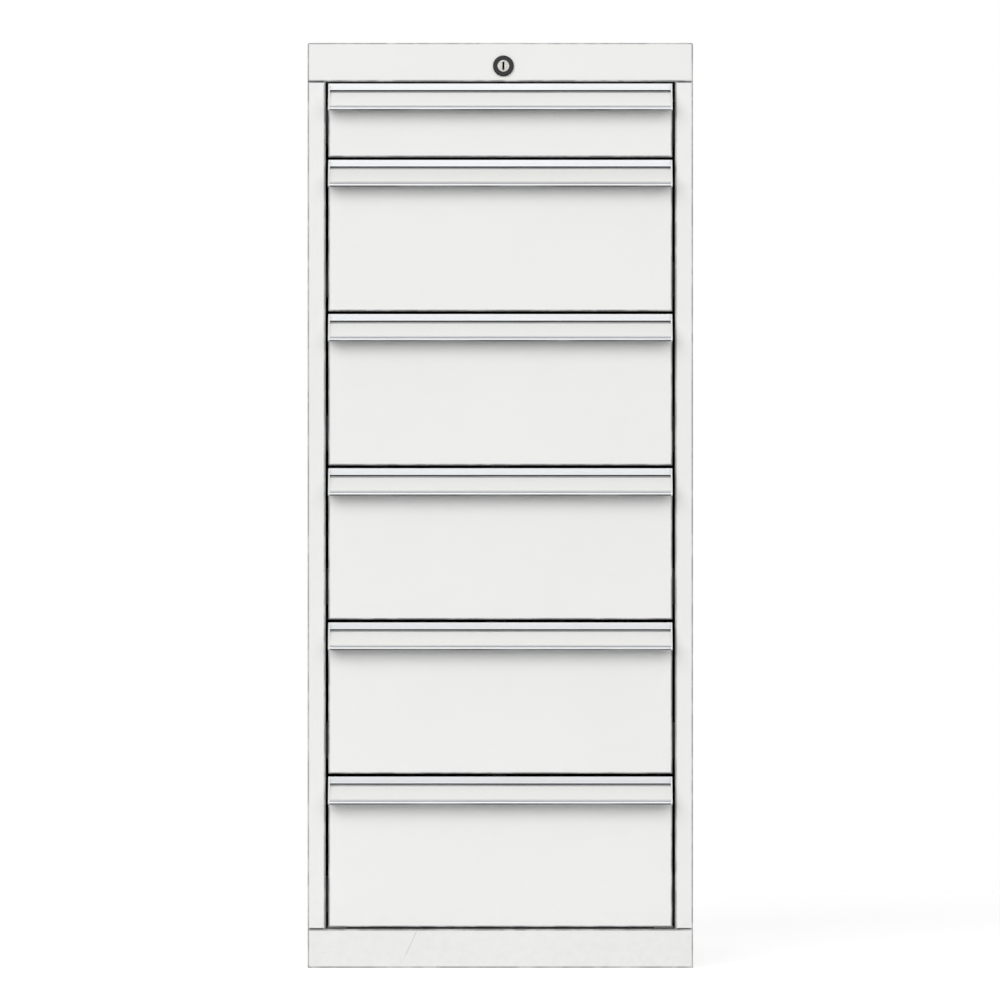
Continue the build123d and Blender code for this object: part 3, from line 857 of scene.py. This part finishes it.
class CABINET_OT_lock(Operator):
    """Finishes the lock, its drive, the locking bar and the bar's guides"""

    bl_idname = "cabinet.lock"
    bl_label = "Finish the lock"

    def execute(self, context):
        colours = context.scene.cabinet_colours
        dress(turned_bezel("black_bezel"), "lock_housing")
        dress(turned_plug("nickel_plug"), "lock_plug")
        dress(bright_steel("lock_nut_steel", colours.plug, NUT_GRAIN), "lock_nut")
        drive = bright_steel("drive_steel", colours.drive, ROD_GRAIN)
        dress(drive, "lock_drive_rod", "lock_crank")
        dress(bright_steel("bar_steel", colours.drive, BAR_GRAIN), "lock_bar")
        dress(moulded("guide_nylon", colours.nylon, grain=800.0, roughness=0.36), "lock_bar_guides")
        return {"FINISHED"}


class CABINET_OT_rail_rivets(Operator):
    """Sets the rivets that hold each drawer's rails to its tray, seen inside the tray and in the rail"""

    bl_idname = "cabinet.rail_rivets"
    bl_label = "Rivet the drawer rails"

    def execute(self, context):
        sizes = context.scene.cabinet_rivets
        inner = sizes.tray_half_width - sizes.sheet
        outer = sizes.tray_half_width + sizes.rail_sheet
        for drawer in DRAWERS:
            low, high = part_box(f"{drawer}_rails")
            y = spread(low.y, high.y, sizes.per_rail, sizes.end_set)
            z = [(low.z + high.z) / 2]
            for side, name in ((-1, "left"), (1, "right")):
                feet = grid([side * inner, side * outer], y, z)
                ways = np.repeat([-side, side], len(y))
                rivets = turned_heads(sizes, feet, np.outer(ways, RIGHT))
                new_piece(f"{drawer}_rail_rivets_{name}", rivets, drawer, rivet_steel())
        return {"FINISHED"}


class CABINET_OT_front_rivets(Operator):
    """Sets the rivets that hold each drawer's front to its tray, seen inside the tray"""

    bl_idname = "cabinet.front_rivets"
    bl_label = "Rivet the drawer fronts"

    def execute(self, context):
        sizes = context.scene.cabinet_rivets
        reach = sizes.tray_half_width
        x = spread(-reach, reach, sizes.per_front, sizes.corner_set)
        for drawer in DRAWERS:
            low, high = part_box(f"{drawer}_tray")
            feet = grid(x, [low.y + sizes.sheet], [low.z + 2 * sizes.edge_set, high.z - sizes.edge_set])
            rivets = turned_heads(sizes, feet, BACK)
            new_piece(f"{drawer}_front_rivets", rivets, drawer, rivet_steel())
        return {"FINISHED"}


class CABINET_OT_guide_rivets(Operator):
    """Sets the rivets that hold the bar's guides, seen on the outside of the back panel"""

    bl_idname = "cabinet.guide_rivets"
    bl_label = "Rivet the bar guides"

    def execute(self, context):
        sizes = context.scene.cabinet_rivets
        low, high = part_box("lock_bar_guides")
        panel_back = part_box("back_panel")[1].y
        x = spread(low.x, high.x, sizes.per_guide, sizes.guide_side_set)
        z = spread(low.z, high.z, sizes.guides, sizes.guide_end_set)
        rivets = turned_heads(sizes, grid(x, [panel_back], z), BACK)
        new_piece("guide_rivets", rivets, "carcass", rivet_steel())
        return {"FINISHED"}


# Stage


def seen_rays(root):
    """1 for rays from the camera and for those that metal and glass send on, 0 for light on matt surfaces."""
    camera = root.node("LightPath", output="Is Camera Ray")
    glossy = root.node("LightPath", output="Is Glossy Ray")
    through = root.node("LightPath", output="Is Transmission Ray")
    return most(most(camera, glossy), through)


def floor_finish(colour, settings):
    """Pale floor lifted towards white, with the shadow kept: it fades out at its rim, and from below."""
    material, place = new_finish("studio_floor")
    radius = hypotenuse(along(place, 0), along(place, 1))
    cloud = noise(place, per_metre=3.0, detail=3.0)
    lift = (settings.floor_glow,) * 3
    glow = blend(seen_rays(place), tint(lift, 0.0), tint(lift))
    matt = {"Base Color": blend(cloud, tint(colour, 0.985), tint(colour, 1.01)), "Roughness": 1.0,
            "Specular IOR Level": 0.0, "Emission Color": glow, "Emission Strength": 1.0}
    lit = place.node("BsdfPrincipled", None, matt)
    clear = place.node("BsdfTransparent")
    below = place.node("NewGeometry", output="Backfacing")
    fade = most(between(radius, settings.floor_inner, settings.floor_outer), below)
    surface = place.node("MixShader", None, {0: fade, 1: lit, 2: clear})
    place.node("OutputMaterial", None, {"Surface": surface})
    return material


def floor_disc(settings):
    """A flat disc: radius r and angle a give the point (r cos a, r sin a), a drop below the plinth."""
    angle = np.linspace(0.0, 2 * math.pi, settings.floor_sides, endpoint=False)
    radius = settings.floor_outer
    height = np.full(len(angle), -settings.floor_drop)
    rim = np.stack([radius * np.cos(angle), radius * np.sin(angle), height], axis=-1)
    return rim, [list(range(len(rim)))]


def lay_floor(scene):
    """Puts the floor under the plinth."""
    settings = scene.cabinet_studio
    finish = floor_finish(scene.cabinet_colours.floor, settings)
    floor = new_object("floor", floor_disc(settings), finish)


def white_surround(scene, strength):
    """White to the eye and to metal, with a plain even light on everything else."""
    world = bpy.data.worlds.new("white_surround")
    world.use_nodes = True
    world.node_tree.nodes.clear()
    root = Shade(world.node_tree)
    level = strength + seen_rays(root) * (1 - strength)
    surround = root.node("Background", None, {"Color": (1.0, 1.0, 1.0, 1.0), "Strength": level})
    root.node("OutputWorld", None, {"Surface": surround})
    scene.world = world


def soft_lamp(name, place, aim, power, width):
    """A large square lamp turned towards a point, out of the camera's sight."""
    light = bpy.data.lights.new(name, "AREA")
    light.energy = power
    light.size = width
    lamp = bpy.data.objects.new(name, light)
    lamp.location = place
    lamp.rotation_euler = (Vector(aim) - Vector(place)).to_track_quat("-Z", "Y").to_euler()
    lamp.visible_camera = False
    bpy.context.scene.collection.objects.link(lamp)


def front_camera(scene):
    """A long lens square to the drawers' faces."""
    settings = scene.cabinet_studio
    lens = bpy.data.cameras.new("camera")
    lens.lens = settings.lens
    camera = bpy.data.objects.new("camera", lens)
    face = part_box("top_cover")[0].y
    camera.location = (settings.view_side, face - settings.view_distance, settings.view_height)
    camera.rotation_euler = (math.pi / 2, 0.0, 0.0)
    scene.collection.objects.link(camera)
    scene.camera = camera


class CABINET_OT_stage(Operator):
    """Sets up the floor, the surround, the lamps and the camera"""

    bl_idname = "cabinet.stage"
    bl_label = "Set the stage"

    def execute(self, context):
        scene = context.scene
        settings = scene.cabinet_studio
        scene.view_settings.view_transform = "Standard"
        lay_floor(scene)
        white_surround(scene, settings.sky)
        middle = (0.0, 0.0, CAD_BOX[1].z / 2)
        for lamp in ("key", "fill", "top", "back", "left", "right"):
            place = getattr(settings, f"{lamp}_place")
            power = getattr(settings, f"{lamp}_power")
            soft_lamp(f"{lamp}_lamp", place, middle, power, settings.lamp_width)
        front_camera(scene)
        return {"FINISHED"}


# Panel and registration


class CABINET_PT_looks(Panel):
    """Lists the cabinet's settings and the steps that dress it"""

    bl_label = "Drawer cabinet"
    bl_idname = "CABINET_PT_looks"
    bl_space_type = "VIEW_3D"
    bl_region_type = "UI"
    bl_category = "Cabinet"

    def draw(self, context):
        for group, kind in SETTINGS.items():
            column = self.layout.column(align=True)
            for name in kind.__annotations__:
                column.prop(getattr(context.scene, group), name)
        for step in STEPS:
            self.layout.operator(step.bl_idname)


SETTINGS = {
    "cabinet_colours": CabinetColours,
    "cabinet_rivets": RivetSizes,
    "cabinet_rear_flange": RearFlange,
    "cabinet_coat_wear": CoatWearAndEdgeShade,
    "cabinet_handle_wear": HandleShadeAndPolish,
    "cabinet_metal_wear": MetalWearAndShade,
    "cabinet_studio": StudioSettings,
}
STEPS = (
    CABINET_OT_carcass,
    CABINET_OT_inner_steel,
    CABINET_OT_fronts,
    CABINET_OT_trays,
    CABINET_OT_handles,
    CABINET_OT_slides,
    CABINET_OT_lock,
    CABINET_OT_rail_rivets,
    CABINET_OT_front_rivets,
    CABINET_OT_guide_rivets,
    CABINET_OT_stage,
)
CLASSES = (*SETTINGS.values(), *STEPS, CABINET_PT_looks)


def register():
    for entry in CLASSES:
        bpy.utils.register_class(entry)
    for group, kind in SETTINGS.items():
        setattr(bpy.types.Scene, group, PointerProperty(type=kind))


def unregister():
    for group in SETTINGS:
        delattr(bpy.types.Scene, group)
    for entry in reversed(CLASSES):
        bpy.utils.unregister_class(entry)


def main():
    """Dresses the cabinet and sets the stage."""
    register()
    bpy.ops.cabinet.carcass()
    bpy.ops.cabinet.inner_steel()
    bpy.ops.cabinet.fronts()
    bpy.ops.cabinet.trays()
    bpy.ops.cabinet.handles()
    bpy.ops.cabinet.slides()
    bpy.ops.cabinet.lock()
    bpy.ops.cabinet.rail_rivets()
    bpy.ops.cabinet.front_rivets()
    bpy.ops.cabinet.guide_rivets()
    bpy.ops.cabinet.stage()


if __name__ == "__main__":
    main()
